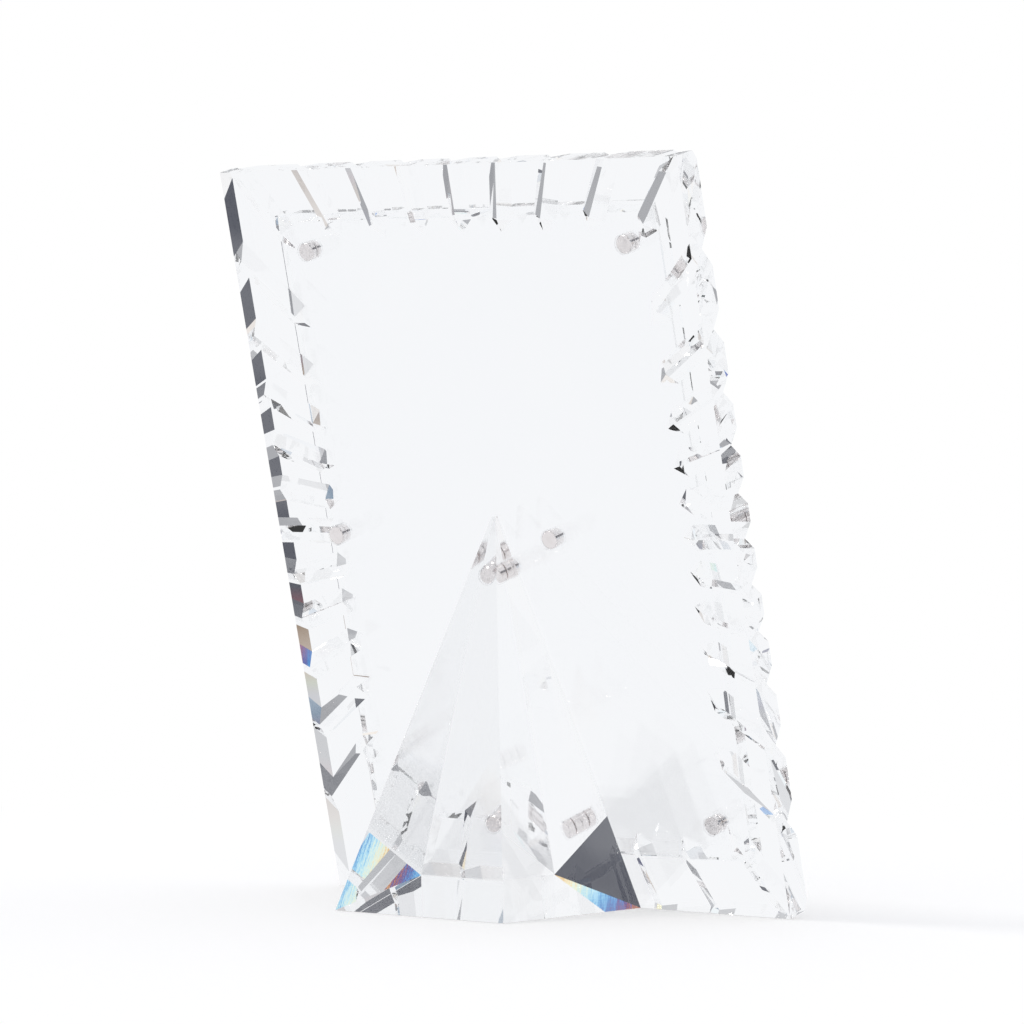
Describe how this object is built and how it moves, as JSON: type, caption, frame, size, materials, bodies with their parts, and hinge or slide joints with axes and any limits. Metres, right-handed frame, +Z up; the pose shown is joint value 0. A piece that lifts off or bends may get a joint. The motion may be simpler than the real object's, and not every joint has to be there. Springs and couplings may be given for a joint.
{
  "type": "acrylic photo frame",
  "caption": "Clear acrylic photo frame: a back plate with a V-grooved sunburst border, a bevelled front plate held by disc magnets, and a solid pyramid foot that holds it up leaning back.",
  "frame": {"origin": "middle of the foot's flat base, on the table top", "axes": "+Z up, -Y the way the picture faces, +X to the right of a viewer in front of the picture; millimetres in the source, metres here"},
  "size_m": [0.1546, 0.072, 0.2006],
  "materials": {
    "clear_acrylic_back": "polished",
    "clear_acrylic_front": "polished",
    "clear_acrylic_foot": "polished",
    "nickel_plated_magnet": "satin"
  },
  "bodies": {
    "foot": {"stand_foot": "clear_acrylic_foot", "foot_lower_disc_1": "nickel_plated_magnet", "foot_lower_disc_2": "nickel_plated_magnet", "foot_upper_disc_1": "nickel_plated_magnet", "foot_upper_disc_2": "nickel_plated_magnet"},
    "back": {"back_plate": "clear_acrylic_back", "back_magnet_top_right": "nickel_plated_magnet", "back_magnet_top_left": "nickel_plated_magnet", "back_magnet_bottom_right": "nickel_plated_magnet", "back_magnet_bottom_left": "nickel_plated_magnet", "back_portrait_lower_disc_1": "nickel_plated_magnet", "back_portrait_lower_disc_2": "nickel_plated_magnet", "back_portrait_upper_disc_1": "nickel_plated_magnet", "back_portrait_upper_disc_2": "nickel_plated_magnet", "back_landscape_lower_disc_1": "nickel_plated_magnet", "back_landscape_lower_disc_2": "nickel_plated_magnet", "back_landscape_upper_disc_1": "nickel_plated_magnet", "back_landscape_upper_disc_2": "nickel_plated_magnet"},
    "front": {"front_plate": "clear_acrylic_front", "front_magnet_top_right": "nickel_plated_magnet", "front_magnet_top_left": "nickel_plated_magnet", "front_magnet_bottom_right": "nickel_plated_magnet", "front_magnet_bottom_left": "nickel_plated_magnet"}
  },
  "joints": [
    {"name": "panel_lift", "type": "slide", "parent": "foot", "child": "back", "axis": [0, -0.9659, 0.2588], "range_m": [0, 0.03]},
    {"name": "front_lift", "type": "slide", "parent": "back", "child": "front", "axis": [0, -0.9659, 0.2588], "range_m": [0, 0.03]}
  ]
}
